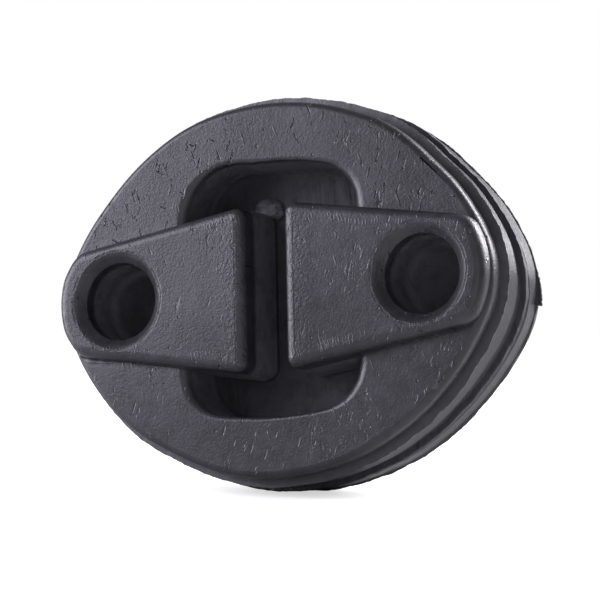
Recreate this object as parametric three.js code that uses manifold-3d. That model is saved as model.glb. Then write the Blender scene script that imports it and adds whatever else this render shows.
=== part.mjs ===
// Exhaust hanger rubber: one moulded block with two hanger bores, a proud pad round each bore,
// a slot between the pads and a void above and below them. Where the mould halves met, a thin
// skin of rubber still closes the bores, the slot and the voids halfway through the block.
// Millimetres, +Z up. The bores run along Y and lie side by side along X, the front faces -Y,
// and the origin is the middle of the block, halfway between the bores.
import * as THREE from 'three';
import { mergeVertices } from 'three/addons/utils/BufferGeometryUtils.js';
import Module from 'manifold-3d';

const wasm = await Module();
wasm.setup();

// Bores
const boreSpacing = 44;
const boreDiameter = 10.4;
const boreChamfer = 1.25;

// Pads, measured on their straight sides before the edges are rounded
const padDepth = 19.2;
const padHeightAtSlot = 22.2;
const padTaperDegrees = 9.2;
const padCornerRadius = 1.4;
const padShoulderRadius = 3;
const padEndRadius = 12;
const padEdgeRadius = 1.1;
const padSpan = 62;
const slotWidth = 5.8;

// Flanges, the two outer faces of the block
const flangeLength = 63.5;
const flangeHeight = 49.6;
const flangeEndRadius = 12.9;
const flangeFaceDepth = 15.4;
const flangeThickness = 2.1;
const flangeEdgeRadius = 0.95;

// Rim between the flanges: heights are how far each band stands out from the flanges' outline
const grooveDrop = 0.65;
const ribGap = 1.1;
const ribWidth = 2.7;
const ribHeight = 0.85;
const landHeight = 0.3;
const crestWidth = 0.9;
const crestHeight = 1.1;

// Flake of mould flash left standing on the back rib at the right, torn off at its lower end
const flakeThickness = 0.5;
const flakeHeight = 1.65;
const flakeStartDegrees = 30;
const flakeEndDegrees = -14;

// Voids above and below the pads
const voidWidth = 24.4;
const voidHeight = 33.6;
const voidCrownRadius = 50;
const voidCornerRadius = 6;
const mouthRadius = 1.3;

// Skin that the mould left across every opening, halfway between the faces
const skinThickness = 0.8;

// Facets: pairs on each arc of an outline, sides of a bore, steps round an edge and along the flake
const arcSegments = 8;
const cornerSegments = 3;
const boreSegments = 40;
const edgeSegments = 2;
const flakeSegments = 8;

const rubber = { color: 0x26272d, roughness: 0.55, metalness: 0 };

const boreRadius = boreDiameter / 2;
const boreX = boreSpacing / 2;
const padFace = padDepth / 2;
const flangeFace = flangeFaceDepth / 2;
const overcut = 1;

// Solid from a closed three.js geometry
function solid(geometry) {
  const bare = geometry.index ? geometry.clone() : geometry;
  bare.deleteAttribute('normal');
  bare.deleteAttribute('uv');
  const merged = mergeVertices(bare, 1e-4);
  return new wasm.Manifold(new wasm.Mesh({
    numProp: 3,
    vertProperties: new Float32Array(merged.attributes.position.array),
    triVerts: new Uint32Array(merged.index.array),
  }));
}

// Geometry of a finished solid
function geometryOf(body) {
  const mesh = body.getMesh();
  const geometry = new THREE.BufferGeometry();
  geometry.setAttribute('position', new THREE.BufferAttribute(mesh.vertProperties, mesh.numProp));
  geometry.setIndex(new THREE.BufferAttribute(mesh.triVerts, 1));
  geometry.computeVertexNormals();
  return geometry;
}

// Slab of an outline drawn in X and Z, standing between two depths along Y, with rounded rims
function slab(outline, front, back, edge = 0, curveSegments = arcSegments) {
  const geometry = new THREE.ExtrudeGeometry(outline, {
    depth: back - front - 2 * edge,
    curveSegments,
    bevelEnabled: edge > 0,
    bevelThickness: edge,
    bevelSize: edge,
    bevelOffset: -edge,
    bevelSegments: edgeSegments,
  });
  geometry.translate(0, 0, -back + edge);
  geometry.rotateX(Math.PI / 2);
  return solid(geometry);
}

// Oval outline of four arcs, the flanges' own outline moved outwards by an offset
function oval(offset) {
  const endX = flangeLength / 2 - flangeEndRadius;
  const halfHeight = flangeHeight / 2;
  const sideRadius = (endX ** 2 + halfHeight ** 2 - flangeEndRadius ** 2) / (2 * (halfHeight - flangeEndRadius));
  const sideZ = halfHeight - sideRadius;
  const joint = Math.atan2(-sideZ, endX);
  const outline = new THREE.Shape();
  outline.absarc(endX, 0, flangeEndRadius + offset, -joint, joint);
  outline.absarc(0, sideZ, sideRadius + offset, joint, Math.PI - joint);
  outline.absarc(-endX, 0, flangeEndRadius + offset, Math.PI - joint, Math.PI + joint);
  outline.absarc(0, -sideZ, sideRadius + offset, Math.PI + joint, 2 * Math.PI - joint);
  return outline;
}

// Groove cut into the rim all round, between two depths
function groove(front, back) {
  const ring = slab(oval(overcut), front, back);
  return ring.subtract(slab(oval(-grooveDrop), front - overcut, back + overcut));
}

// Block with its flanges, and the ribs, lands, crest and flake that stand in the groove between them
function rim() {
  const grooveFront = -flangeFace + flangeThickness;
  const ribFront = grooveFront + ribGap;
  const ribBack = ribFront + ribWidth;
  const block = slab(oval(0), -flangeFace, flangeFace, flangeEdgeRadius);
  const core = block.subtract(groove(grooveFront, -grooveFront));
  const bands = [
    slab(oval(ribHeight), ribFront, ribBack),
    slab(oval(ribHeight), -ribBack, -ribFront),
    slab(oval(landHeight), ribBack - ribWidth / 2, -ribBack + ribWidth / 2),
    slab(oval(crestHeight), -crestWidth / 2, crestWidth / 2),
    flake(-ribFront),
  ];
  return bands.reduce((body, band) => body.add(band), core);
}

// Thin flake along a rib's edge: it grows from nothing along the rim and ends in a torn step
function flake(depth) {
  const endX = flangeLength / 2 - flangeEndRadius;
  const start = THREE.MathUtils.degToRad(flakeStartDegrees);
  const end = THREE.MathUtils.degToRad(flakeEndDegrees);
  const root = flangeEndRadius - overcut;
  const outer = [];
  const inner = [];
  for (let i = 0; i <= flakeSegments; i += 1) {
    const share = i / flakeSegments;
    const angle = start + (end - start) * share;
    const tip = flangeEndRadius + flakeHeight * share;
    outer.push(new THREE.Vector2(endX + tip * Math.cos(angle), tip * Math.sin(angle)));
    inner.push(new THREE.Vector2(endX + root * Math.cos(angle), root * Math.sin(angle)));
  }
  const outline = new THREE.Shape([...inner, ...outer.reverse()]);
  return slab(outline, depth - flakeThickness / 2, depth + flakeThickness / 2);
}

// Outline of the opening that takes both voids and the slot, as wide as the voids
function opening() {
  const halfWidth = voidWidth / 2;
  const halfHeight = voidHeight / 2;
  const crownZ = halfHeight - voidCrownRadius;
  const cornerX = halfWidth - voidCornerRadius;
  const cornerZ = crownZ + Math.sqrt((voidCrownRadius - voidCornerRadius) ** 2 - cornerX ** 2);
  const tangent = Math.atan2(cornerZ - crownZ, cornerX);
  const outline = new THREE.Shape();
  outline.absarc(cornerX, -cornerZ, voidCornerRadius, -tangent, 0);
  outline.absarc(cornerX, cornerZ, voidCornerRadius, 0, tangent);
  outline.absarc(0, crownZ, voidCrownRadius, tangent, Math.PI - tangent);
  outline.absarc(-cornerX, cornerZ, voidCornerRadius, Math.PI - tangent, Math.PI);
  outline.absarc(-cornerX, -cornerZ, voidCornerRadius, Math.PI, Math.PI + tangent);
  outline.absarc(0, -crownZ, voidCrownRadius, Math.PI + tangent, 2 * Math.PI - tangent);
  return outline;
}

// The opening as cut from one face down to the skin, its mouth opened out in steps round an edge
function pocket(side) {
  const floor = side * skinThickness / 2;
  const outside = side * (flangeFace + overcut);
  let cut = slab(opening(), Math.min(floor, outside), Math.max(floor, outside));
  for (let i = 0; i < edgeSegments; i += 1) {
    const from = (i / edgeSegments) * Math.PI / 2;
    const to = ((i + 1) / edgeSegments) * Math.PI / 2;
    cut = cut.add(mouth(from, to, side));
  }
  return cut;
}

// One bevelled step of a mouth, between two angles of the rounded edge
function mouth(from, to, side) {
  const narrow = mouthRadius * (1 - Math.cos(from));
  const wide = mouthRadius * (1 - Math.cos(to));
  const deep = mouthRadius * (1 - Math.sin(from));
  const shallow = mouthRadius * (1 - Math.sin(to));
  const geometry = new THREE.ExtrudeGeometry(opening(), {
    depth: shallow + overcut,
    curveSegments: arcSegments,
    bevelEnabled: true,
    bevelThickness: deep - shallow,
    bevelSize: wide - narrow,
    bevelOffset: narrow,
    bevelSegments: 1,
  });
  geometry.translate(0, 0, -(shallow + overcut) / 2);
  geometry.rotateX(Math.PI / 2);
  geometry.translate(0, side * (flangeFace + (overcut - shallow) / 2), 0);
  return solid(geometry);
}

// Outline of one pad: straight sides that narrow from the slot, rounded shoulders and a round end.
// The left pad's outline is the right one's turned by half a turn.
function padOutline(side) {
  const taper = THREE.MathUtils.degToRad(padTaperDegrees);
  const slope = Math.tan(taper);
  const inner = slotWidth / 2;
  const axisHeight = padHeightAtSlot / 2 + inner * slope;
  const endX = padSpan / 2 - padEndRadius;

  // Shoulder arc, tangent to the straight side and to the end arc from within
  const shoulderLine = axisHeight - padShoulderRadius / Math.cos(taper);
  const within = padEndRadius - padShoulderRadius;
  const half = (endX + slope * shoulderLine) / (1 + slope ** 2);
  const rest = (endX ** 2 + shoulderLine ** 2 - within ** 2) / (1 + slope ** 2);
  const shoulderX = half + Math.sqrt(half ** 2 - rest);
  const shoulderZ = shoulderLine - slope * shoulderX;

  const cornerX = inner + padCornerRadius;
  const cornerZ = axisHeight - slope * cornerX - padCornerRadius / Math.cos(taper);
  const straight = Math.PI / 2 - taper;
  const endAngle = Math.atan2(shoulderZ, shoulderX - endX);
  const turn = side < 0 ? Math.PI : 0;
  const outline = new THREE.Shape();
  const arc = (x, z, radius, from, to) => {
    outline.absarc(side * x, side * z, radius, from + turn, to + turn);
  };
  arc(endX, 0, padEndRadius, -endAngle, endAngle);
  arc(shoulderX, shoulderZ, padShoulderRadius, endAngle, straight);
  arc(cornerX, cornerZ, padCornerRadius, straight, Math.PI);
  arc(cornerX, -cornerZ, padCornerRadius, Math.PI, 2 * Math.PI - straight);
  arc(shoulderX, -shoulderZ, padShoulderRadius, 2 * Math.PI - straight, 2 * Math.PI - endAngle);
  return outline;
}

// Pad and the block under it, from face to face
function pad(side) {
  return slab(padOutline(side), -padFace, padFace, padEdgeRadius, cornerSegments);
}

// Half of a bore, from the skin out to its chamfered mouth, for one pad and one face
function bore(side, face) {
  const reach = padFace + overcut;
  const mouthReach = boreRadius + boreChamfer + overcut;
  const profile = [
    new THREE.Vector2(0, skinThickness / 2),
    new THREE.Vector2(boreRadius, skinThickness / 2),
    new THREE.Vector2(boreRadius, padFace - boreChamfer),
    new THREE.Vector2(mouthReach, reach),
    new THREE.Vector2(0, reach),
  ];
  const geometry = new THREE.LatheGeometry(profile, boreSegments);
  if (face < 0) {
    geometry.rotateX(Math.PI);
  }
  geometry.translate(side * boreX, 0, 0);
  return solid(geometry);
}

function hangerBody() {
  let body = rim().subtract(pocket(-1)).subtract(pocket(1)).add(pad(-1)).add(pad(1));
  for (const side of [-1, 1]) {
    body = body.subtract(bore(side, -1)).subtract(bore(side, 1));
  }
  const mesh = new THREE.Mesh(geometryOf(body), new THREE.MeshStandardMaterial(rubber));
  mesh.name = 'hanger_body';
  return mesh;
}

const hanger = new THREE.Group();
hanger.add(hangerBody());

export default hanger;
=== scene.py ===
"""Exhaust hanger rubber: the detailed moulded block, its rubber finish and the stage that it is seen on."""
import math

import bmesh
import bpy
from bpy.props import FloatProperty, FloatVectorProperty, PointerProperty
from mathutils import Matrix, Vector, noise


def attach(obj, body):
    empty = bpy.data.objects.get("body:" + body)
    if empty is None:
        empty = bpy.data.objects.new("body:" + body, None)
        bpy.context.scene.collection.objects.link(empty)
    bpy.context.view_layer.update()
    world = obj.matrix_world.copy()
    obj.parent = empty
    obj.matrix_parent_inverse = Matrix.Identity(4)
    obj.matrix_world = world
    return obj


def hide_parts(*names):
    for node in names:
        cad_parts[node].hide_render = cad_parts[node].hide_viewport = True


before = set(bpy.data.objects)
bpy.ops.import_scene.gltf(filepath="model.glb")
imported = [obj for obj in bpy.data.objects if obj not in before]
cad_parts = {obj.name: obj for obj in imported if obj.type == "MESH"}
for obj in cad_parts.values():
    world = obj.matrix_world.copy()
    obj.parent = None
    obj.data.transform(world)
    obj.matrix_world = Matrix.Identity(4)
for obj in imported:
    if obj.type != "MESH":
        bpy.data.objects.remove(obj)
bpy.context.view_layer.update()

bl_info = {
    "name": "Exhaust hanger rubber",
    "version": (1, 0, 0),
    "blender": (4, 5, 0),
    "location": "View3D > Sidebar > Hanger",
    "description": "Moulded two-bore exhaust hanger with its mould marks, rubber finish and studio stage",
    "category": "Object",
}

CAD_NODE = "hanger_body"
MM = 0.001

# The arcs and straight runs of an outline, drawn in X and Z, are each walked with about this step
OUTLINE_STEP = 0.42 * MM

# Points of a swept solid nearer than WELD are one, and after the joins and cuts those nearer than TOUCH
WELD = 0.004 * MM
TOUCH = 0.002 * MM

# Outlines are walked counter-clockwise seen from the front, which is a turn about the forward axis
FORWARD = (0.0, -1.0, 0.0)
BACKWARD = (0.0, 1.0, 0.0)

# Edges that turn by more than this stay sharp
SHARP = math.radians(34)

# Where the rim is worn or swollen, and its back half swollen: place and spread in degrees, millimetres outwards
SETTLED = (
    (118.0, 12.0, 0.25), (52.0, 8.0, 0.2), (33.0, 7.0, -0.25), (152.0, 13.0, -0.3),
    (180.0, 14.0, -0.35), (-170.0, 8.0, -0.2), (-122.0, 14.0, -0.4),
)
SWOLLEN = ((-12.0, 16.0, 1.0), (-45.0, 16.0, 0.4))
SWOLLEN_HEIGHT = 0.6

# Where the upper void's crown is lifted or lowered: place and spread along X, and height, in millimetres
CROWN_LIFT = ((-6.5, 3.5, 0.6), (8.5, 3.0, -0.25))

# Points of the rounded bore mouth: millimetres past the chamfer and below the pad face
BORE_MOUTH = ((-0.5, 0.5), (-0.2, 0.24), (0.1, 0.06), (0.45, -0.14))
BORE_STEPS = 96

# The flake of flash: where it is tied and where it is torn off, round its end of the oval
FLAKE_FIRST = math.radians(30)
FLAKE_LAST = math.radians(-14)
FLAKE_STEPS = 40

# The torn tag in the upper void: its middle and half sizes
TAG_PLACE = (-0.0037, -0.0007, 0.0117)
TAG_SIZE = (0.0024, 0.0006, 0.0014)

# Unevenness of the moulding: each wave has its turns per metre and its share of a millimetre
FLANGE_WAVES = ((150.0, 0.06),)
RIB_WAVES = ((240.0, 0.07),)
CREST_WAVES = ((620.0, 0.09), (2100.0, 0.09))
FIN_WAVES = ((520.0, 0.5), (1900.0, 0.5))
MOUTH_WAVES = ((700.0, 0.06),)
BORE_RIM_WAVES = ((480.0, 0.08), (1700.0, 0.06))
LIP_WAVES = ((450.0, 0.4), (1100.0, 0.35))

# Noise of the finish: turns per metre, detail and roughness
NOISES = {
    "bloom": (70.0, 4.0, 0.55),
    "mottle": (520.0, 5.0, 0.65),
    "grain": (3300.0, 3.0, 0.6),
    "crinkle": (2100.0, 3.0, 0.6),
    "waves": (45.0, 1.0, 0.4),
    "clusters": (110.0, 3.0, 0.55),
    "streak_patches": (210.0, 2.0, 0.5),
    "comb_patches": (330.0, 2.0, 0.5),
    "comb_shift": (800.0, 2.0, 0.5),
    "dust_patches": (160.0, 1.0, 0.5),
}

# Marks scattered over the faces: turn, spacing, width, length, share kept and seed
SCRATCHES = (
    (-0.3, 0.0007, 0.00036, 0.0018, 0.7, 0.31),
    (0.35, 0.0008, 0.00034, 0.002, 0.6, 0.77),
    (1.1, 0.001, 0.0003, 0.0015, 0.45, 0.53),
)
PITS = (0.0, 0.0014, 0.00045, 0.00045, 0.4, 0.91)
DUST = (0.0, 0.0021, 0.00022, 0.0002, 0.12, 0.13)

# Depths from the middle of the block, in metres, over which one part's finish gives way to the next
DEPTHS = {
    "skin": (0.0016, 0.0007),
    # From these depths inwards the walls of the bores, slot and voids are painted lighter, a painted fill light
    "cavity_fill_light": (0.0072, 0.006),
    "face": (0.0070, 0.0074),
    "flange": (0.0074, 0.0076),
    "foot": (0.00765, 0.0079),
    "pad": (0.0084, 0.0089),
    "below_pad_face": (0.00959, 0.0095),
}

# Depths at which each groove's painted fill light starts, is full, is last full and ends: the grooves are painted
# in the light cavity colour
GROOVE_FILL_LIGHT_DEPTHS = ((0.0043, 0.0046, 0.0055, 0.0058), (0.0004, 0.0006, 0.0017, 0.0019))

# Spacing of the comb of tool ticks along the pads' sloping sides, and how far its ticks stray
COMB_STEP = 0.00046
COMB_STRAY = 0.0009

# Half axes of the oval that parts the cavities inside the block from its grooves
INNER_OVAL = (0.0295, 0.0225)

# Colours of the dark marks and of the specks of dust
DARK_MARK = (0.006, 0.006, 0.007)
DUST_SPECK = (0.34, 0.34, 0.36)

# Lamps: name, place, aim, width, power and colour
LAMPS = (
    ("key", (-0.15, -0.135, 0.085), (0.0, 0.0, 0.0), 0.12, 0.37, (0.9, 0.86, 1.0)),
    ("left_side", (-0.7, -0.22, 0.1), (0.0, 0.0, 0.0), 0.3, 3.0, (0.95, 0.93, 1.0)),
    ("right_back", (0.35, 0.33, 0.33), (0.03, 0.0, 0.0), 0.4, 9.0, (0.97, 0.95, 1.0)),
    ("front_fill", (0.3, -0.7, 0.0), (0.0, 0.0, 0.0), 0.5, 0.8, (0.95, 0.93, 1.0)),
)
WORLD_STRENGTH = 0.24

WHITE = (1.0, 1.0, 1.0, 1.0)


def length(name, description, millimetres):
    """A length property, given in millimetres."""
    return FloatProperty(
        name=name, description=description, default=millimetres * MM,
        min=0.0, precision=5, subtype="DISTANCE", unit="LENGTH",
    )


def angle(name, description, degrees):
    """An angle property, given in degrees."""
    return FloatProperty(
        name=name, description=description, default=math.radians(degrees), subtype="ANGLE", unit="ROTATION",
    )


def colour(name, description, value):
    """A colour property."""
    return FloatVectorProperty(
        name=name, description=description, subtype="COLOR", size=3, min=0.0, max=1.0, default=value,
    )


def share_of_one(name, description, value):
    """A property between zero and one."""
    return FloatProperty(name=name, description=description, default=value, min=0.0, max=1.0, subtype="FACTOR")


class HangerSizes(bpy.types.PropertyGroup):
    """Sizes of the moulded block."""

    bore_spacing: length("Bore spacing", "Distance between the two bore axes", 44.0)
    bore_diameter: length("Bore diameter", "Inner diameter of each bore", 10.4)
    bore_chamfer: length("Bore chamfer", "Width of the chamfer at each bore mouth", 1.25)
    pad_depth: length("Pad depth", "Depth over the front and back pads", 19.2)
    pad_height: length("Pad height", "Height of a pad on its slot side", 22.2)
    pad_taper: angle("Pad taper", "Slope of a pad's upper and lower sides", 9.2)
    pad_corner: length("Pad corner", "Radius of a pad's corners at the slot", 1.4)
    pad_shoulder: length("Pad shoulder", "Radius where a pad's side meets its round end", 3.0)
    pad_end: length("Pad end", "Radius of a pad's round end", 12.0)
    pad_edge: length("Pad edge", "Rounding of a pad's rims", 1.45)
    pad_span: length("Pad span", "Distance over the ends of both pads", 62.0)
    pad_draft: length("Pad draft", "How much a pad's block grows towards the middle of the mould", 0.45)
    slot_width: length("Slot width", "Gap between the two pads", 5.8)
    flange_length: length("Flange length", "Length of the oval faces", 63.0)
    flange_height: length("Flange height", "Height of the oval faces", 49.6)
    flange_end: length("Flange end radius", "Radius of the oval's two ends", 12.9)
    face_depth: length("Face depth", "Depth over the two oval faces", 15.4)
    flange_thickness: length("Flange thickness", "Thickness of each outer flange", 2.1)
    flange_edge: length("Flange edge", "Rounding of the flange rims", 0.95)
    groove_drop: length("Groove drop", "Depth of the groove behind each flange", 0.65)
    rib_gap: length("Rib gap", "Width of the groove behind each flange", 1.1)
    rib_width: length("Rib width", "Width of each rib", 2.7)
    rib_height: length("Rib height", "How far a rib stands out from the flange outline", 0.75)
    land_height: length("Land height", "How far the lands beside the crest stand out", 0.3)
    crest_width: length("Crest width", "Width of the crest where the mould halves met", 0.9)
    crest_height: length("Crest height", "How far the crest stands out", 1.2)
    rim_turn: angle("Rim turn", "How far the oval rim is turned against the pads", 0.8)
    fin_height: length("Fin height", "Height of the thin flash fin on each rib's outer edge", 0.22)
    flap_height: length("Flap height", "Extra height of the ragged flap on the front rib at the upper right", 0.5)
    flake_thickness: length("Flake thickness", "Thickness of the torn flake of flash", 0.5)
    flake_height: length("Flake height", "How far the flake stands out at its torn end", 2.1)
    void_width: length("Void width", "Width of the opening", 24.4)
    void_height: length("Void height", "Height over both voids", 33.6)
    void_crown: length("Void crown", "Radius of the voids' crowns", 50.0)
    void_corner: length("Void corner", "Radius of the voids' corners", 6.0)
    void_mouth: length("Void mouth", "Rounding of the voids' mouths at their ends", 1.6)
    crown_mouth: length("Crown mouth", "Rounding of the voids' mouths at their crowns", 0.6)
    skin: length("Skin", "Thickness of the skin halfway through every opening", 0.8)
    lip_height: length("Lip height", "Height of the torn lip of flash along the left pad's foot", 0.26)


class HangerFinish(bpy.types.PropertyGroup):
    """Colour and texture of the rubber."""

    rubber: colour("Rubber", "Base colour of the rubber", (0.021, 0.0205, 0.026))
    bloom: colour("Bloom", "Colour of the pale bloom on the rubber", (0.032, 0.031, 0.041))
    # Painted fill light: the walls of the bores, slot and voids and the rim's grooves are painted this much
    # lighter than the rubber, in place of the light that fills them
    cavity_fill_light: colour("Cavity walls", "Colour of the dull walls of the bores, slot and voids", (0.11, 0.108, 0.122))
    scratch: colour("Scratch", "Colour of scratches and nicks", (0.1, 0.1, 0.12))
    # Painted highlight: the torn flash along the left pad's foot is painted in this much lighter colour where its
    # face catches the light
    flash: colour("Flash", "Colour of the torn flash along the left pad's foot", (0.2, 0.2, 0.22))
    roughness: share_of_one("Roughness", "Roughness of the plain rubber", 0.38)
    grain: share_of_one("Grain", "Strength of the moulded grain", 0.55)


class StageSettings(bpy.types.PropertyGroup):
    """Camera, floor and light."""

    azimuth: angle("Azimuth", "Camera turn about Z", 26.2)
    elevation: angle("Elevation", "Camera height angle", -8.35)
    roll: angle("Roll", "Camera roll", 1.2)
    distance: length("Distance", "Camera distance from its aim", 419.0)
    aim: FloatVectorProperty(
        name="Aim", description="Point the camera looks at", subtype="XYZ", unit="LENGTH",
        size=3, default=(0.00052, 0.0, -0.00049),
    )
    lens: FloatProperty(name="Lens", description="Focal length in millimetres", default=189.56, min=1.0)
    graze: angle("Grazing angle", "Angle at which the camera sees the floor", 2.5)
    pressed: length("Pressed in", "How far the crest is pressed in where the block stands", 0.22)
    floor_size: length("Floor size", "Width of the floor", 700.0)


# Outlines: each is a start point, a start direction and a list of runs. A run is either an arc or a straight
# move, and says its length and the fewest steps that it is walked in.

def arc(x, z, radius, swing):
    """An arc run about a centre, counter-clockwise seen from the front."""
    return {
        "centre": Vector((x, 0.0, z)), "swing": swing, "along": Vector(),
        "length": radius * swing, "fewest": 3,
    }


def move(start, end):
    """A straight run between two points of the outline."""
    along = Vector((end[0] - start[0], 0.0, end[1] - start[1]))
    return {"centre": Vector(), "swing": 0.0, "along": along, "length": along.length, "fewest": 1}


def on_circle(x, z, radius, turn):
    """Point of a circle, as X and Z."""
    return (x + radius * math.cos(turn), z + radius * math.sin(turn))


def oval_numbers(s):
    """Centres and joint angle of the four-arc oval."""
    end_x = s.flange_length / 2 - s.flange_end
    half = s.flange_height / 2
    side_radius = (end_x ** 2 + half ** 2 - s.flange_end ** 2) / (2 * (half - s.flange_end))
    side_z = half - side_radius
    joint = math.atan2(-side_z, end_x)
    return end_x, side_radius, side_z, joint


def oval_outline(s):
    """The flange outline."""
    end_x, side_radius, side_z, joint = oval_numbers(s)
    return {
        "start": on_circle(end_x, 0.0, s.flange_end, -joint),
        "facing": -joint,
        "runs": [
            arc(end_x, 0.0, s.flange_end, 2 * joint),
            arc(0.0, side_z, side_radius, math.pi - 2 * joint),
            arc(-end_x, 0.0, s.flange_end, 2 * joint),
            arc(0.0, -side_z, side_radius, math.pi - 2 * joint),
        ],
    }


def opening_numbers(s):
    """Corner centre, crown centre and joint angle of the opening."""
    corner_x = s.void_width / 2 - s.void_corner
    crown_z = s.void_height / 2 - s.void_crown
    corner_z = crown_z + math.sqrt((s.void_crown - s.void_corner) ** 2 - corner_x ** 2)
    return corner_x, corner_z, crown_z, math.atan2(corner_z - crown_z, corner_x)


def opening_outline(s):
    """The outline that takes both voids and the slot."""
    corner_x, corner_z, crown_z, tangent = opening_numbers(s)
    low = on_circle(corner_x, -corner_z, s.void_corner, 0.0)
    high = on_circle(corner_x, corner_z, s.void_corner, 0.0)
    far_high = (-high[0], high[1])
    far_low = (-low[0], low[1])
    return {
        "start": on_circle(corner_x, -corner_z, s.void_corner, -tangent),
        "facing": -tangent,
        "runs": [
            arc(corner_x, -corner_z, s.void_corner, tangent),
            move(low, high),
            arc(corner_x, corner_z, s.void_corner, tangent),
            arc(0.0, crown_z, s.void_crown, math.pi - 2 * tangent),
            arc(-corner_x, corner_z, s.void_corner, tangent),
            move(far_high, far_low),
            arc(-corner_x, -corner_z, s.void_corner, tangent),
            arc(0.0, -crown_z, s.void_crown, math.pi - 2 * tangent),
        ],
    }


def pad_outline(s):
    """The right pad's outline: straight sides, rounded shoulders and a round end."""
    slope = math.tan(s.pad_taper)
    inner = s.slot_width / 2
    axis_height = s.pad_height / 2 + inner * slope
    end_x = s.pad_span / 2 - s.pad_end
    line = axis_height - s.pad_shoulder / math.cos(s.pad_taper)
    within = s.pad_end - s.pad_shoulder
    half = (end_x + slope * line) / (1 + slope ** 2)
    rest = (end_x ** 2 + line ** 2 - within ** 2) / (1 + slope ** 2)
    shoulder_x = half + math.sqrt(half ** 2 - rest)
    shoulder_z = line - slope * shoulder_x
    corner_x = inner + s.pad_corner
    corner_z = axis_height - slope * corner_x - s.pad_corner / math.cos(s.pad_taper)
    side = math.pi / 2 - s.pad_taper
    end = math.atan2(shoulder_z, shoulder_x - end_x)
    return {
        "start": on_circle(end_x, 0.0, s.pad_end, -end),
        "facing": -end,
        "runs": [
            arc(end_x, 0.0, s.pad_end, 2 * end),
            arc(shoulder_x, shoulder_z, s.pad_shoulder, side - end),
            move(
                on_circle(shoulder_x, shoulder_z, s.pad_shoulder, side),
                on_circle(corner_x, corner_z, s.pad_corner, side),
            ),
            arc(corner_x, corner_z, s.pad_corner, math.pi - side),
            move((inner, corner_z), (inner, -corner_z)),
            arc(corner_x, -corner_z, s.pad_corner, math.pi - side),
            move(
                on_circle(corner_x, -corner_z, s.pad_corner, -side),
                on_circle(shoulder_x, -shoulder_z, s.pad_shoulder, -side),
            ),
            arc(shoulder_x, -shoulder_z, s.pad_shoulder, side - end),
        ],
    }


def rounded(points, radii, segments=4):
    """A section with its corners rounded: points are (offset, depth), radii go with them."""
    section = []
    for i, point in enumerate(points):
        here = Vector(point)
        if radii[i] <= 0.0 or i in (0, len(points) - 1):
            section.append(here)
            continue
        to_before = (Vector(points[i - 1]) - here).normalized()
        to_after = (Vector(points[i + 1]) - here).normalized()
        half = to_before.angle(to_after) / 2
        reach = radii[i] / math.tan(half)
        centre = here + (to_before + to_after).normalized() * radii[i] / math.sin(half)
        first = here + to_before * reach - centre
        last = here + to_after * reach - centre
        swing = first.angle_signed(last)
        for k in range(segments + 1):
            turned = first.copy()
            turned.rotate(Matrix.Rotation(-swing * k / segments, 2))
            section.append(centre + turned)
    return section


def faced_out(bm):
    """Turns every face of a closed solid outwards."""
    bmesh.ops.recalc_face_normals(bm, faces=bm.faces)
    if bm.calc_volume(signed=True) < 0.0:
        bmesh.ops.reverse_faces(bm, faces=bm.faces)
    return bm


def spin(bm, geometry, centre, axis, swing, steps, along=Vector(), merge=False):
    """Sweeps geometry about or along an axis, and gives its last place."""
    made = bmesh.ops.spin(
        bm, geom=geometry, cent=centre, axis=axis, dvec=along, angle=swing, steps=steps,
        use_merge=merge, use_normal_flip=False, use_duplicate=False,
    )
    return made["geom_last"]


def sweep(outline, section, ring=False):
    """A closed solid: the section, of offsets and depths, is taken along the outline.

    An open section leaves two open ends, which are capped. A ring has a closed section and needs no caps.
    """
    bm = bmesh.new()
    facing = Vector((math.cos(outline["facing"]), 0.0, math.sin(outline["facing"])))
    start = Vector((outline["start"][0], 0.0, outline["start"][1]))
    chain = [bm.verts.new(start + facing * offset + Vector((0.0, depth, 0.0))) for offset, depth in section]
    pairs = list(zip(chain, chain[1:]))
    if ring:
        pairs.append((chain[-1], chain[0]))
    geometry = chain + [bm.edges.new(pair) for pair in pairs]
    for run in outline["runs"]:
        steps = max(run["fewest"], round(run["length"] / OUTLINE_STEP))
        geometry = spin(bm, geometry, run["centre"], FORWARD, run["swing"], steps, run["along"] / steps)
    bmesh.ops.remove_doubles(bm, verts=bm.verts, dist=WELD)
    if not ring:
        bmesh.ops.holes_fill(bm, edges=bm.edges, sides=0)
    return faced_out(bm)


def placed(name, bm):
    """An object at the origin from a finished bmesh."""
    mesh = bpy.data.meshes.new(name)
    bm.to_mesh(mesh)
    bm.free()
    obj = bpy.data.objects.new(name, mesh)
    bpy.context.scene.collection.objects.link(obj)
    return obj


def turned_over(bm):
    """The same solid for the back face."""
    bmesh.ops.scale(bm, vec=(1.0, -1.0, 1.0), verts=bm.verts)
    return faced_out(bm)


def combine(target, solid, operation):
    """Joins or cuts an object with a solid."""
    tool = placed("tool", solid)
    modifier = target.modifiers.new(operation.title(), "BOOLEAN")
    modifier.operation = operation
    modifier.solver = "EXACT"
    modifier.object = tool
    evaluated = target.evaluated_get(bpy.context.evaluated_depsgraph_get())
    mesh = bpy.data.meshes.new_from_object(evaluated)
    target.modifiers.clear()
    old = target.data
    target.data = mesh
    bpy.data.meshes.remove(old)
    tool_mesh = tool.data
    bpy.data.objects.remove(tool)
    bpy.data.meshes.remove(tool_mesh)


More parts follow.
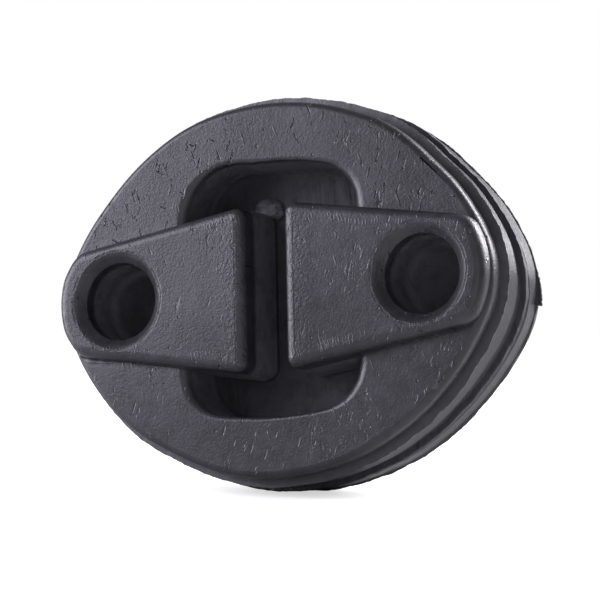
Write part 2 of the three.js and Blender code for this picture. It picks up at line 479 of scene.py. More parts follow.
def close_cracks(bm):
    """Welds the open edges that a Boolean leaves where a long straight edge meets a row of short ones."""
    corners = {corner for edge in bm.edges if edge.is_boundary for corner in edge.verts}
    for edge in [edge for edge in bm.edges if edge.is_boundary]:
        start, end = edge.verts
        along = end.co - start.co
        near = [
            corner.co - start.co for corner in corners
            if corner not in (start, end) and (corner.co - start.co).cross(along).length / along.length < TOUCH
        ]
        places = sorted(part.dot(along) / along.length_squared for part in near)
        places = [share for share in places if 0.001 < share < 0.999]
        done = 0.0
        for share in places:
            edge, start = bmesh.utils.edge_split(edge, start, (share - done) / (1.0 - done))
            edge = next(other for other in start.link_edges if end in other.verts)
            done = share
    bmesh.ops.remove_doubles(bm, verts=bm.verts, dist=TOUCH)


def rim_place(s, co):
    """Direction straight out of the rim at a point, and how far the point is past the flange outline."""
    end_x, side_radius, side_z, joint = oval_numbers(s)
    x, z = abs(co.x), abs(co.z)
    if math.atan2(z - side_z, x) < joint:
        out = Vector((x - end_x, 0.0, z))
        past = math.hypot(x - end_x, z) - s.flange_end
    else:
        out = Vector((x, 0.0, z - side_z))
        past = math.hypot(x, z - side_z) - side_radius
    out.normalize()
    return Vector((math.copysign(out.x, co.x), 0.0, math.copysign(out.z, co.z))), past


def rim_section(s):
    """Section of the rim: points and rounding radii in millimetres from front face to crest, then mirrored."""
    face = s.face_depth / 2
    groove = -face + s.flange_thickness
    rib_front = groove + s.rib_gap
    rib_back = rib_front + s.rib_width
    crest = s.crest_width / 2
    fin = s.rib_height + s.fin_height
    points = [
        (-s.flange_edge, -face), (0.0, -face), (0.0, groove), (-s.groove_drop, groove + 0.25 * MM),
        (-s.groove_drop, rib_front), (fin, rib_front), (fin, rib_front + 0.12 * MM),
        (s.rib_height, rib_front + 0.3 * MM), (s.rib_height, rib_back), (s.land_height, rib_back + 0.15 * MM),
        (s.land_height, -crest), (s.crest_height, -crest), (s.crest_height, 0.0),
    ]
    rounds = [0.0, 0.9, 0.3, 0.15, 0.2, 0.0, 0.0, 0.12, 0.25, 0.1, 0.15, 0.14, 0.0]
    half = rounded(points, [value * MM for value in rounds])[:-1]
    return half + [Vector((p.x, -p.y)) for p in reversed(half)]


def smooth_share(value, low, high):
    """Zero below low, one above high, smooth between."""
    share = min(1.0, max(0.0, (value - low) / (high - low)))
    return share * share * (3.0 - 2.0 * share)


def bumps(at, places):
    """Sum of smooth bumps, each with its place, spread and height."""
    return sum(height * math.exp(-((at - place) / spread) ** 2) for place, spread, height in places)


def uneven(co, waves):
    """Sum of noises at a point."""
    return sum(noise.noise(co * scale) * share for scale, share in waves)


def roughen_rim(s, bm):
    """Uneven ribs and crest, with ragged fins of flash, and a torn flap on the front rib at the upper right."""
    face = s.face_depth / 2
    rib_edge = face - s.flange_thickness - s.rib_gap
    crest = s.crest_width / 2
    for vert in bm.verts:
        depth = abs(vert.co.y)
        out, past = rim_place(s, vert.co)
        if past < -s.flange_edge:
            continue
        if depth > face - s.flange_thickness:
            vert.co += out * ((uneven(vert.co, FLANGE_WAVES) + settled(vert.co)) * MM)
            continue
        wave = uneven(vert.co, RIB_WAVES) + settled(vert.co)
        if depth < crest + 0.05 * MM:
            wave += uneven(vert.co, CREST_WAVES)
        if abs(depth - rib_edge) < 0.2 * MM and past > s.land_height / 2:
            rag = uneven(vert.co, FIN_WAVES)
            wave += 0.2 * rag
            vert.co.y += rag * 0.12 * MM
            if vert.co.y < 0.0 and vert.co.x > 0.0:
                flap = smooth_share(vert.co.z, 1.5 * MM, 5.0 * MM)
                flap *= 1.0 - smooth_share(vert.co.z, 13.0 * MM, 17.0 * MM)
                torn = noise.noise(vert.co * 420.0 + Vector((5.0, 0.0, 2.0)))
                wave += flap * (s.flap_height / MM) * (0.35 + 0.5 * torn)
                vert.co.y -= flap * (0.45 + 0.35 * torn) * MM
        vert.co += out * (wave * MM)


def settled(co):
    """Millimetres by which a point of the rim has left its oval."""
    around = math.degrees(math.atan2(co.z, co.x))
    return bumps(around, SETTLED) + SWOLLEN_HEIGHT * bumps(around, SWOLLEN) * smooth_share(co.y, -4.0 * MM, 0.0)


def mouth_section(s):
    """Section of the cut down to the skin, with its mouth rounded towards the face."""
    face = s.face_depth / 2
    section = [Vector((s.void_mouth, -face - MM))]
    for k in range(7):
        turn = math.pi / 2 * k / 6
        section.append(Vector((s.void_mouth * (1 - math.sin(turn)), -face + s.void_mouth * (1 - math.cos(turn)))))
    tail = [(0.0, -face + s.void_mouth), (-0.15 * MM, -s.skin / 2), (-1.4 * MM, -s.skin / 2)]
    return section + rounded(tail, [0.0, 1.1 * MM, 0.0], 6)[1:]


def shape_mouth(s, bm):
    """Narrows the mouth towards the crowns, lifts the upper void's left shoulder and lowers its right one."""
    corner_x, corner_z, crown_z, tangent = opening_numbers(s)
    face = s.face_depth / 2
    for vert in bm.verts:
        x, z = abs(vert.co.x), abs(vert.co.z)
        if math.atan2(z - crown_z, x) > tangent:
            away = Vector((x, 0.0, z - crown_z))
            beyond = away.length - s.void_crown
        elif z > corner_z:
            away = Vector((x - corner_x, 0.0, z - corner_z))
            beyond = away.length - s.void_corner
        else:
            away = Vector((1.0, 0.0, 0.0))
            beyond = x - s.void_width / 2
        away.normalize()
        if vert.co.y < -face + s.void_mouth + WELD and beyond > -WELD:
            share = (s.crown_mouth + (s.void_mouth - s.crown_mouth) * away.x ** 1.5) / s.void_mouth
            rag = uneven(vert.co, MOUTH_WAVES) * MM
            shift = beyond * (share - 1.0) + rag
            vert.co += Vector((math.copysign(away.x, vert.co.x), 0.0, math.copysign(away.z, vert.co.z))) * shift
            if vert.co.y > -face:
                vert.co.y = -face + (vert.co.y + face) * share
        upper = smooth_share(vert.co.z, 9.0 * MM, 13.0 * MM)
        vert.co.z += upper * bumps(vert.co.x / MM, CROWN_LIFT) * MM
    return bm


def pad_section(s):
    """Section of a pad from face to face."""
    face = s.pad_depth / 2
    points = [(-s.pad_edge, -face), (0.0, -face), (s.pad_draft, 0.0), (0.0, face), (-s.pad_edge, face)]
    return rounded(points, [0.0, s.pad_edge * 0.92, 0.0, s.pad_edge * 0.92, 0.0], 5)


def bore_cutter(s, side):
    """One half of a bore, front side, from the skin to its chamfer with a slightly ragged rim."""
    radius = s.bore_diameter / 2
    face = s.pad_depth / 2
    points = [
        (0.0, -s.skin / 2), (radius - 0.15 * MM, -s.skin / 2), (radius, -face + s.bore_chamfer),
        (radius + s.bore_chamfer + MM, -face - MM), (0.0, -face - MM),
    ]
    section = rounded(points, [0.0, 2.4 * MM, 0.3 * MM, 0.0, 0.0], 8)
    for beyond, under in BORE_MOUTH:
        section.insert(-2, Vector((radius + s.bore_chamfer + beyond * MM, -face + under * MM)))
    bm = bmesh.new()
    centre = Vector((side * s.bore_spacing / 2, 0.0, 0.0))
    chain = [bm.verts.new(centre + Vector((offset, depth, 0.0))) for offset, depth in section]
    geometry = chain + [bm.edges.new(pair) for pair in zip(chain, chain[1:])]
    spin(bm, geometry, centre, FORWARD, 2 * math.pi, BORE_STEPS, merge=True)
    bmesh.ops.remove_doubles(bm, verts=bm.verts, dist=WELD)
    for vert in bm.verts:
        out = Vector((vert.co.x, 0.0, vert.co.z)) - centre
        if vert.co.y < -face + 0.2 * MM and out.length > radius:
            vert.co += out.normalized() * (uneven(vert.co, BORE_RIM_WAVES) * MM)
    return faced_out(bm)


def torn_lip(s):
    """A ragged ridge of flash that runs round the foot of the left pad on the front face."""
    face = s.face_depth / 2
    reach = 0.32 * MM
    section = []
    for k in range(8):
        section.append(Vector(on_circle(0.5 * MM, face - 0.08 * MM, reach, 2 * math.pi * k / 8)))
    bm = sweep(pad_outline(s), section, ring=True)
    turn_half(bm)
    for vert in bm.verts:
        x, z = vert.co.x / MM, vert.co.z / MM
        upper = smooth_share(z, 4.0, 6.0) * smooth_share(-x, 11.5, 13.5) * smooth_share(x, -29.6, -28.0)
        lower = 0.8 * smooth_share(-z, 5.5, 7.5) * smooth_share(-x, 22.0, 25.0)
        rag = uneven(vert.co, LIP_WAVES)
        stands = max(upper, lower)
        vert.co.y += 0.5 * MM - stands * (1.0 + rag) * (0.4 * MM + s.lip_height)
        hidden = 0.1 * (1.0 - stands)
        vert.co.x += (-16.0 * MM - vert.co.x) * hidden
        vert.co.z -= vert.co.z * hidden
    return bm


def turn_half(bm):
    """Half a turn about Z, which takes a pad from right to left."""
    bmesh.ops.rotate(bm, verts=bm.verts, cent=(0.0, 0.0, 0.0), matrix=Matrix.Rotation(math.pi, 3, "Z"))


def wear_end(bm):
    """Rounds the left pad's end off a little above and below its middle."""
    for vert in bm.verts:
        share = smooth_share(abs(vert.co.z), 3.0 * MM, 6.5 * MM) * smooth_share(-vert.co.x, 24.0 * MM, 29.0 * MM)
        vert.co.x += 0.4 * MM * share


def torn_tag():
    """A small torn lump of flash that clings to the skin in the upper void."""
    bm = bmesh.new()
    bmesh.ops.create_icosphere(bm, subdivisions=4, radius=1.0)
    for vert in bm.verts:
        lump = noise.noise(vert.co * 1.7 + Vector((3.0, 0.0, 0.0))) * 0.35
        lump += noise.noise(vert.co * 5.0 + Vector((0.0, 3.0, 0.0))) * 0.16
        vert.co *= 1.0 + lump
    bmesh.ops.scale(bm, vec=TAG_SIZE, verts=bm.verts)
    bmesh.ops.translate(bm, vec=TAG_PLACE, verts=bm.verts)
    return faced_out(bm)


def flake_solid(s):
    """The torn flake of flash on the back rib, thin at its tip and ragged."""
    end_x = s.flange_length / 2 - s.flange_end
    back = s.face_depth / 2 - s.flange_thickness - s.rib_gap
    bm = bmesh.new()
    root = s.flange_end - 0.8 * MM
    tip = root + 1.5 * MM
    near, far = back - s.flake_thickness / 2, back + s.flake_thickness / 2
    corners = []
    for reach, depth in ((root, near), (tip, near), (tip, far), (root, far)):
        corners.append(bm.verts.new((end_x + reach * math.cos(FLAKE_FIRST), depth, reach * math.sin(FLAKE_FIRST))))
    loop = bm.faces.new(corners)
    geometry = [loop] + list(loop.edges) + list(loop.verts)
    spin(bm, geometry, (end_x, 0.0, 0.0), BACKWARD, FLAKE_FIRST - FLAKE_LAST, FLAKE_STEPS)
    bmesh.ops.remove_doubles(bm, verts=bm.verts, dist=TOUCH)
    inside = [f for f in bm.faces if len(f.verts) == 4 and all(len(e.link_faces) > 2 for e in f.edges)]
    bmesh.ops.delete(bm, geom=inside, context="FACES")
    for vert in bm.verts:
        out = Vector((vert.co.x - end_x, 0.0, vert.co.z))
        if out.length > root + MM:
            around = math.atan2(out.z, out.x)
            share = (FLAKE_FIRST - around) / (FLAKE_FIRST - FLAKE_LAST)
            ragged = noise.noise(Vector((around * 60.0, 0.0, 0.0))) * 0.12 * MM * min(1.0, share * 3)
            reach = s.flange_end + s.flake_height * share + ragged
            vert.co += out.normalized() * (reach - out.length)
            vert.co.y = back + (vert.co.y - back) * 0.5 + ragged * 0.5
    return faced_out(bm)


class HANGER_OT_body(bpy.types.Operator):
    """Model the moulded block: rim, voids, pads, bores and flash"""

    bl_idname = "hanger.body"
    bl_label = "Moulded body"

    def execute(self, context):
        s = context.scene.hanger_sizes
        rim = sweep(oval_outline(s), rim_section(s))
        roughen_rim(s, rim)
        bmesh.ops.rotate(rim, verts=rim.verts, cent=(0.0, 0.0, 0.0), matrix=Matrix.Rotation(s.rim_turn, 3, "Y"))
        body = placed("hanger_rubber", rim)
        combine(body, flake_solid(s), "UNION")
        front, back = (shape_mouth(s, sweep(opening_outline(s), mouth_section(s))) for _ in range(2))
        combine(body, front, "DIFFERENCE")
        combine(body, turned_over(back), "DIFFERENCE")
        for side in (1, -1):
            pad = sweep(pad_outline(s), pad_section(s))
            if side < 0:
                turn_half(pad)
                wear_end(pad)
            combine(body, pad, "UNION")
        combine(body, torn_tag(), "UNION")
        for side in (1, -1):
            combine(body, bore_cutter(s, side), "DIFFERENCE")
            combine(body, turned_over(bore_cutter(s, side)), "DIFFERENCE")
        combine(body, torn_lip(s), "UNION")
        mesh = body.data
        bm = bmesh.new()
        bm.from_mesh(mesh)
        bmesh.ops.remove_doubles(bm, verts=bm.verts, dist=TOUCH)
        bmesh.ops.dissolve_degenerate(bm, edges=bm.edges, dist=TOUCH)
        close_cracks(bm)
        bm.to_mesh(mesh)
        bm.free()
        normal, height = floor_plane(context.scene.hanger_stage)
        for vert in mesh.vertices:
            under = height - vert.co.dot(normal)
            if under > 0.0:
                vert.co += normal * under
        mesh.polygons.foreach_set("use_smooth", [True] * len(mesh.polygons))
        mesh.set_sharp_from_angle(angle=SHARP)
        weighted = body.modifiers.new("Weighted normals", "WEIGHTED_NORMAL")
        weighted.keep_sharp = True
        mesh.materials.clear()
        mesh.materials.append(rubber_material(s, context.scene.hanger_finish))
        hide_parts(CAD_NODE)
        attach(body, "root")
        return {"FINISHED"}


def node(tree, kind, **values):
    """A node whose inputs and settings are set by name."""
    made = tree.nodes.new(kind)
    for key, value in values.items():
        if key in made.inputs:
            made.inputs[key].default_value = value
        else:
            setattr(made, key, value)
    return made


def empty_tree(owner):
    """The node tree of a material or world, cleared."""
    owner.use_nodes = True
    owner.node_tree.nodes.clear()
    return owner.node_tree


def calculate(tree, operation, first, second=None):
    """A math node on sockets or numbers, and its result."""
    made = node(tree, "ShaderNodeMath", operation=operation)
    for socket, value in zip(made.inputs, (first, second)):
        if isinstance(value, bpy.types.NodeSocket):
            tree.links.new(value, socket)
        elif value is not None:
            socket.default_value = value
    return made.outputs[0]


def stretch(tree, value, low, high, to_low=0.0, to_high=1.0):
    """Takes a range of a value to another range, clamped and smooth."""
    made = node(tree, "ShaderNodeMapRange", interpolation_type="SMOOTHSTEP")
    for name, number in (("From Min", low), ("From Max", high), ("To Min", to_low), ("To Max", to_high)):
        made.inputs[name].default_value = number
    tree.links.new(value, made.inputs["Value"])
    return made.outputs["Result"]


def speckle(tree, place, scale, detail=2.0, rough=0.5):
    """Noise at a scale per metre."""
    made = node(tree, "ShaderNodeTexNoise", Scale=scale, Detail=detail, Roughness=rough)
    tree.links.new(place, made.inputs["Vector"])
    return made.outputs["Fac"]


def turned(tree, place, turn, scale):
    """Coordinates turned about Y, then stretched."""
    first = node(tree, "ShaderNodeMapping")
    first.inputs["Rotation"].default_value = (0.0, turn, 0.0)
    tree.links.new(place, first.inputs["Vector"])
    second = node(tree, "ShaderNodeMapping")
    second.inputs["Scale"].default_value = scale
    tree.links.new(first.outputs[0], second.inputs["Vector"])
    return second.outputs[0]


def nicks(tree, place, turn, spacing, width, long, keep, seed):
    """Short dashes scattered over the faces, each a small stretched dot."""
    across = 1.0 / spacing
    coordinates = turned(tree, place, turn, (1.0, 0.0, width / long))
    shifted = node(tree, "ShaderNodeVectorMath", operation="ADD")
    tree.links.new(coordinates, shifted.inputs[0])
    shifted.inputs[1].default_value = (seed, seed, seed)
    cells = node(tree, "ShaderNodeTexVoronoi", Scale=across)
    tree.links.new(shifted.outputs[0], cells.inputs["Vector"])
    split = node(tree, "ShaderNodeSeparateColor")
    tree.links.new(cells.outputs["Color"], split.inputs[0])
    chosen = stretch(tree, split.outputs[0], 1.0 - keep, 1.0 - keep + 0.05)
    dot = stretch(tree, cells.outputs["Distance"], width * across * 0.5, width * across * 0.2)
    return calculate(tree, "MULTIPLY", chosen, dot)


def total(tree, parts):
    """Sum of weighted heights."""
    result = calculate(tree, "MULTIPLY", parts[0][0], parts[0][1])
    for value, weight in parts[1:]:
        result = calculate(tree, "ADD", result, calculate(tree, "MULTIPLY", value, weight))
    return result


def chain_of(tree, operation, values):
    """One operation on a row of values, from first to last."""
    result = values[0]
    for value in values[1:]:
        result = calculate(tree, operation, result, value)
    return result


def product(tree, *values):
    """Product of sockets or numbers."""
    return chain_of(tree, "MULTIPLY", values)


def largest(tree, *values):
    """Largest of some sockets."""
    return chain_of(tree, "MAXIMUM", values)


def band(tree, value, start, full, last_full, end):
    """One inside a range of a value and zero outside it, with soft ends."""
    return product(tree, stretch(tree, value, start, full), stretch(tree, value, end, last_full))


def squares(tree, first, second):
    """Sum of the squares of two sockets."""
    return calculate(tree, "ADD", calculate(tree, "POWER", first, 2.0), calculate(tree, "POWER", second, 2.0))


def blend_colour(tree, share, first, second):
    """Mix of two colours, each a value or a socket."""
    made = node(tree, "ShaderNodeMix", data_type="RGBA")
    tree.links.new(share, made.inputs[0])
    for socket, value in ((made.inputs[6], first), (made.inputs[7], second)):
        if isinstance(value, bpy.types.NodeSocket):
            tree.links.new(value, socket)
        else:
            socket.default_value = (*value, 1.0)
    return made.outputs[2]


def block_regions(tree, place, s):
    """For each part of the block, a share from zero to one that says whether a point is on it."""
    axes = node(tree, "ShaderNodeSeparateXYZ")
    tree.links.new(place, axes.inputs[0])
    x, y, z = (axes.outputs[i] for i in range(3))
    side_x = calculate(tree, "ABSOLUTE", x)
    deep_y = calculate(tree, "ABSOLUTE", y)
    deep = {name: stretch(tree, deep_y, *depths) for name, depths in DEPTHS.items()}

    # How far a point is inside the pads' sloping sides, how far it is from its bore, and one on the inner oval
    slope = math.tan(s.pad_taper)
    drop = product(tree, side_x, slope)
    edge_z = calculate(tree, "SUBTRACT", s.pad_height / 2 + s.slot_width / 2 * slope, drop)
    inside = calculate(tree, "SUBTRACT", edge_z, calculate(tree, "ABSOLUTE", z))
    from_bore = calculate(tree, "SQRT", squares(tree, calculate(tree, "SUBTRACT", side_x, s.bore_spacing / 2), z))
    oval = squares(tree, *(product(tree, axis, 1 / half) for axis, half in zip((x, z), INNER_OVAL)))

    # The rim's grooves, painted lighter: a painted fill light
    groove_fill_light = largest(tree, *(band(tree, deep_y, *depths) for depths in GROOVE_FILL_LIGHT_DEPTHS))
    below_pad = stretch(tree, deep_y, *DEPTHS["pad"][::-1], 0.25, 1.0)
    at_foot = band(tree, inside, 0.0, -0.0003, -0.0009, -0.0013)
    return {
        "leaning": calculate(tree, "ADD", x, product(tree, z, 0.25)),
        "upper": stretch(tree, z, -0.004, 0.012, 0.35, 1.0),
        "face": deep["face"],
        "flange": product(tree, deep["flange"], below_pad),
        "pad": deep["pad"],
        "pad_band": product(tree, band(tree, inside, 0.0009, 0.0014, 0.0020, 0.0026), deep["pad"]),
        # Where the torn flash along the left pad's foot gets its painted highlight
        "pad_foot_highlight": product(tree, at_foot, deep["foot"], stretch(tree, x, -0.0105, -0.0125)),
        "pad_by_slot": product(tree, stretch(tree, side_x, 0.0085, 0.0035), deep["pad"]),
        "below_pad_face": deep["below_pad_face"],
        "bore_rim": product(tree, band(tree, from_bore, 0.0065, 0.0066, 0.0067, 0.00695), deep["pad"]),
        # Where the cavity walls and the rim's grooves are painted lighter, a painted fill light
        "cavity_fill_light": product(tree, deep["cavity_fill_light"], stretch(tree, oval, 1.0, 0.9)),
        "groove": product(tree, groove_fill_light, stretch(tree, oval, 0.95, 1.05, 0.0, 0.85)),
        "skin": deep["skin"],
        "bore_skin": product(tree, deep["skin"], stretch(tree, from_bore, 0.007, 0.006)),
        "shaded_skin": product(tree, deep["skin"], stretch(tree, x, 0.002, -0.004), 0.5),
    }


def surface_marks(tree, place, on, noises):
    """Scratches, pits, streaks, the comb of tool ticks along the pads, dark ragged rings round the bore mouths and
    specks of dust.
    """
    clusters = product(tree, stretch(tree, noises["clusters"], 0.42, 0.52), on["upper"], on["flange"])
    scratches = product(tree, largest(tree, *(nicks(tree, place, *numbers) for numbers in SCRATCHES)), clusters)

    lines = speckle(tree, turned(tree, place, -0.12, (1.0, 1.0, 0.09)), 900.0, 1.0, 0.4)
    lines = stretch(tree, calculate(tree, "ABSOLUTE", calculate(tree, "SUBTRACT", lines, 0.5)), 0.012, 0.003)

    stray = product(tree, noises["comb_shift"], COMB_STRAY)
    comb = product(tree, calculate(tree, "ADD", on["leaning"], stray), 2 * math.pi / COMB_STEP)
    comb = stretch(tree, calculate(tree, "SINE", comb), 0.1, 0.9)
    return {
        "scratches": scratches,
        "pits": product(tree, nicks(tree, place, *PITS), on["face"]),
        "streaks": product(tree, lines, stretch(tree, noises["streak_patches"], 0.56, 0.66)),
        "comb": product(tree, comb, on["pad_band"], stretch(tree, noises["comb_patches"], 0.47, 0.62, 0.0, 0.7)),
        # A dark ragged ring just outside each bore's chamfer, dented a little
        "rim": product(tree, on["bore_rim"], stretch(tree, noises["mottle"], 0.42, 0.58)),
        "dust": product(tree, nicks(tree, place, *DUST), stretch(tree, noises["dust_patches"], 0.46, 0.58)),
    }


def rubber_material(s, f):
    """Satin moulded black rubber: bloom, grain, surface marks, and dull walls inside the cavities and grooves
    painted lighter as a painted fill light, with a painted highlight on the torn flash.
    """
    material = bpy.data.materials.new("satin_moulded_rubber")
    tree = empty_tree(material)
    link = tree.links.new
    output = node(tree, "ShaderNodeOutputMaterial")
    shader = node(tree, "ShaderNodeBsdfPrincipled")
    link(shader.outputs["BSDF"], output.inputs["Surface"])
    place = node(tree, "ShaderNodeTexCoord").outputs["Object"]
    on = block_regions(tree, place, s)
    noises = {name: speckle(tree, place, *numbers) for name, numbers in NOISES.items()}
    marks = surface_marks(tree, place, on, noises)
    mottle = noises["mottle"]

    # Colour, from the plain rubber to what lies over it
    dark = tuple(part * 0.5 for part in f.rubber)
    light_marks = largest(tree, marks["scratches"], marks["streaks"], marks["comb"])
    dark_marks = largest(tree, marks["rim"], marks["pits"])
    raised = stretch(tree, node(tree, "ShaderNodeNewGeometry").outputs["Pointiness"], 0.52, 0.62)
    raised = product(tree, raised, on["below_pad_face"], 0.5)
    layers = (
        (stretch(tree, mottle, 0.62, 0.36, 0.0, 0.55), dark),
        (product(tree, light_marks, 0.3), f.scratch),
        (raised, f.scratch),
        # Painted highlight on the torn flash along the left pad's foot
        (product(tree, on["pad_foot_highlight"], stretch(tree, mottle, 0.4, 0.6, 0.3, 1.0)), f.flash),
        (product(tree, dark_marks, 0.6), DARK_MARK),
        (marks["dust"], DUST_SPECK),
        # Painted fill light: cavity walls in a colour far lighter than the rubber, a little uneven
        (product(tree, on["cavity_fill_light"], stretch(tree, mottle, 0.3, 0.6, 0.6, 1.0)), f.cavity_fill_light),
        # Painted fill light: the rim's grooves in the same light colour as the cavity walls
        (on["groove"], f.cavity_fill_light),
        # The skins take back half the plain rubber colour, so they get only half the painted fill light
        (product(tree, on["skin"], 0.5), f.rubber),
        (on["shaded_skin"], dark),
    )
    tone = blend_colour(tree, stretch(tree, noises["bloom"], 0.32, 0.7), f.rubber, f.bloom)
    for share, over in layers:
        tone = blend_colour(tree, share, tone, over)
    link(tone, shader.inputs["Base Color"])

    rough = total(tree, [
        (noises["bloom"], 0.1), (mottle, 0.14), (light_marks, -0.1), (marks["rim"], 0.2), (on["skin"], 0.2),
    ])
    link(calculate(tree, "ADD", rough, f.roughness - 0.12), shader.inputs["Roughness"])
    link(stretch(tree, on["cavity_fill_light"], 0.0, 1.0, 0.5, 0.12), shader.inputs["Specular IOR Level"])

    # Relief: scratches are gouged in some places and torn up in others
    coarse = product(tree, noises["crinkle"], on["pad_by_slot"])
    gouged = product(tree, marks["scratches"], stretch(tree, mottle, 0.47, 0.53, -1.0, 1.0))
    height = total(tree, [
        (noises["grain"], 0.2 * f.grain), (mottle, 0.1 * f.grain), (coarse, 0.5 * f.grain), (noises["waves"], 1.5),
        (gouged, 0.6), (marks["streaks"], -0.5), (marks["comb"], 0.12), (marks["rim"], -0.2),
        (marks["dust"], 0.3), (marks["pits"], -0.2),
    ])
    drawn = speckle(tree, turned(tree, place, 0.1, (1.0, 1.0, 0.12)), 700.0, 2.0, 0.5)
    drawn = product(tree, drawn, calculate(tree, "SUBTRACT", on["skin"], on["bore_skin"]))
    bump = node(tree, "ShaderNodeBump", Strength=1.0, Distance=0.0004)
    link(calculate(tree, "ADD", height, drawn), bump.inputs["Height"])
    link(bump.outputs["Normal"], shader.inputs["Normal"])
    return material


def camera_axes(t):
    """Right, up and back directions of the camera."""
    a, e = t.azimuth, t.elevation
    back = Vector((math.sin(a) * math.cos(e), -math.cos(a) * math.cos(e), math.sin(e)))
    right = Vector((math.cos(a), math.sin(a), 0.0))
    up = back.cross(right)
    return (
        right * math.cos(t.roll) - up * math.sin(t.roll),
        right * math.sin(t.roll) + up * math.cos(t.roll),
        back,
    )


def floor_plane(t):
    """Upward direction of the floor and its height along that direction, where the block stands on it.

    The block's own weight presses its crest in a little, so the floor lies that much higher.
    """
    right, up, back = camera_axes(t)
    normal = (up * math.cos(t.graze) + back * math.sin(t.graze)).normalized()
    lowest = min(vert.co.dot(normal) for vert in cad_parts[CAD_NODE].data.vertices)
    return normal, lowest + t.pressed


def area_lamp(name, at, to, size, power, tint):
    """A soft square lamp aimed at a point."""
    data = bpy.data.lights.new(name, "AREA")
    data.shape = "SQUARE"
    data.size = size
    data.energy = power
    data.color = tint
    lamp = bpy.data.objects.new(name, data)
    lamp.location = at
    lamp.rotation_euler = (Vector(to) - Vector(at)).to_track_quat("-Z", "Y").to_euler()
    lamp.visible_camera = False
    bpy.context.scene.collection.objects.link(lamp)


def seen_white(tree):
    """One where a camera or transmission ray looks."""
    path = node(tree, "ShaderNodeLightPath")
    return calculate(tree, "MAXIMUM", path.outputs["Is Camera Ray"], path.outputs["Is Transmission Ray"])


class HANGER_OT_stage(bpy.types.Operator):
    """Set up the camera, the pale floor and the studio light"""

    bl_idname = "hanger.stage"
    bl_label = "Stage"

    def execute(self, context):
        scene = context.scene
        t = scene.hanger_stage
        right, up, back = camera_axes(t)
        data = bpy.data.cameras.new("camera")
        data.sensor_fit = "HORIZONTAL"
        data.sensor_width = 36.0
        data.lens = t.lens
        data.clip_start = 0.01
        data.clip_end = 20.0
        camera = bpy.data.objects.new("camera", data)
        place = Matrix((right, up, back)).transposed().to_4x4()
        place.translation = Vector(t.aim) + back * t.distance
        camera.matrix_world = place
        scene.collection.objects.link(camera)
        scene.camera = camera

        normal, height = floor_plane(t)
        bm = bmesh.new()
        bmesh.ops.create_circle(bm, cap_ends=True, cap_tris=False, segments=96, radius=t.floor_size / 2)
        turn = Vector((0.0, 0.0, 1.0)).rotation_difference(normal).to_matrix()
        bmesh.ops.recalc_face_normals(bm, faces=bm.faces)
        for disc in bm.faces:
            if disc.normal.z < 0.0:
                disc.normal_flip()
        bmesh.ops.rotate(bm, verts=bm.verts, cent=(0.0, 0.0, 0.0), matrix=turn)
        bmesh.ops.translate(bm, verts=bm.verts, vec=normal * height)
        floor = placed("floor", bm)
        floor.data.materials.append(floor_material())

        for lamp in LAMPS:
            area_lamp(*lamp)

        world = bpy.data.worlds.new("studio")
        tree = empty_tree(world)
        out = node(tree, "ShaderNodeOutputWorld")
        mix = node(tree, "ShaderNodeMixShader")
        plain = node(tree, "ShaderNodeBackground", Color=WHITE, Strength=WORLD_STRENGTH)
        white = node(tree, "ShaderNodeBackground", Color=WHITE, Strength=1.0)
        tree.links.new(seen_white(tree), mix.inputs[0])
        tree.links.new(plain.outputs[0], mix.inputs[1])
        tree.links.new(white.outputs[0], mix.inputs[2])
        tree.links.new(mix.outputs[0], out.inputs["Surface"])
        scene.world = world
        scene.view_settings.view_transform = "Standard"
        return {"FINISHED"}


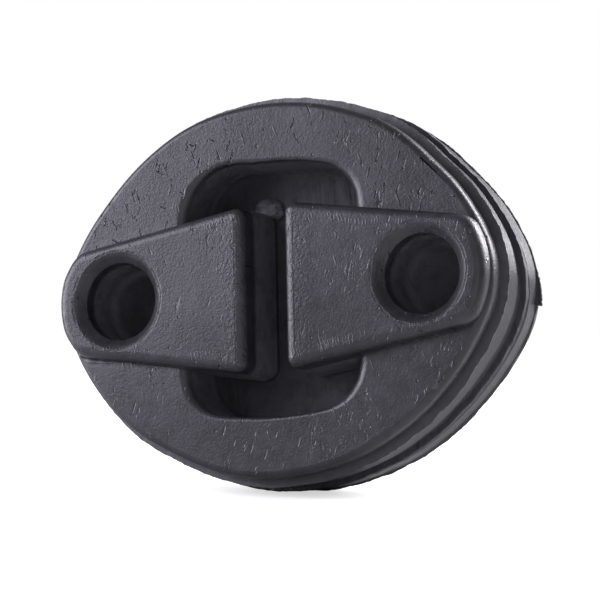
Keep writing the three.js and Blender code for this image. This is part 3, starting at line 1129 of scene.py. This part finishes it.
def floor_material():
    """White floor that glows less close to the block, where the contact shadow lies, and is clear from beneath."""
    material = bpy.data.materials.new("white_floor")
    tree = empty_tree(material)
    link = tree.links.new
    out = node(tree, "ShaderNodeOutputMaterial")
    base = node(tree, "ShaderNodeBsdfPrincipled", Roughness=0.3)
    base.inputs["Base Color"].default_value = (0.6, 0.6, 0.6, 1.0)
    base.inputs["Specular IOR Level"].default_value = 0.1
    place = node(tree, "ShaderNodeMapping")
    place.inputs["Location"].default_value = (0.001, -0.002, 0.026)
    link(node(tree, "ShaderNodeTexCoord").outputs["Object"], place.inputs["Vector"])
    away = node(tree, "ShaderNodeVectorMath", operation="LENGTH")
    link(place.outputs[0], away.inputs[0])
    glow = node(tree, "ShaderNodeEmission")
    bright = stretch(tree, away.outputs["Value"], 0.0, 0.025, 0.6, 1.0)
    link(product(tree, seen_white(tree), bright), glow.inputs["Strength"])
    lit = node(tree, "ShaderNodeAddShader")
    link(base.outputs[0], lit.inputs[0])
    link(glow.outputs[0], lit.inputs[1])
    clear = node(tree, "ShaderNodeBsdfTransparent")
    mix = node(tree, "ShaderNodeMixShader")
    link(node(tree, "ShaderNodeNewGeometry").outputs["Backfacing"], mix.inputs[0])
    link(lit.outputs[0], mix.inputs[1])
    link(clear.outputs[0], mix.inputs[2])
    link(mix.outputs[0], out.inputs["Surface"])
    return material


class HANGER_PT_panel(bpy.types.Panel):
    """Sizes, finish and stage of the hanger"""

    bl_idname = "HANGER_PT_panel"
    bl_label = "Exhaust hanger"
    bl_space_type = "VIEW_3D"
    bl_region_type = "UI"
    bl_category = "Hanger"

    def draw(self, context):
        for group in (context.scene.hanger_sizes, context.scene.hanger_finish, context.scene.hanger_stage):
            box = self.layout.box()
            for name in group.bl_rna.properties.keys():
                if name not in ("rna_type", "name"):
                    box.prop(group, name)
        self.layout.operator(HANGER_OT_body.bl_idname)
        self.layout.operator(HANGER_OT_stage.bl_idname)


CLASSES = (HangerSizes, HangerFinish, StageSettings, HANGER_OT_body, HANGER_OT_stage, HANGER_PT_panel)


def register():
    """Register the classes and their settings."""
    for cls in CLASSES:
        bpy.utils.register_class(cls)
    bpy.types.Scene.hanger_sizes = PointerProperty(type=HangerSizes)
    bpy.types.Scene.hanger_finish = PointerProperty(type=HangerFinish)
    bpy.types.Scene.hanger_stage = PointerProperty(type=StageSettings)


def unregister():
    """Remove the classes and their settings."""
    del bpy.types.Scene.hanger_stage
    del bpy.types.Scene.hanger_finish
    del bpy.types.Scene.hanger_sizes
    for cls in reversed(CLASSES):
        bpy.utils.unregister_class(cls)


def main():
    """Build the hanger and its stage."""
    register()
    bpy.ops.hanger.body()
    bpy.ops.hanger.stage()


if __name__ == "__main__":
    main()
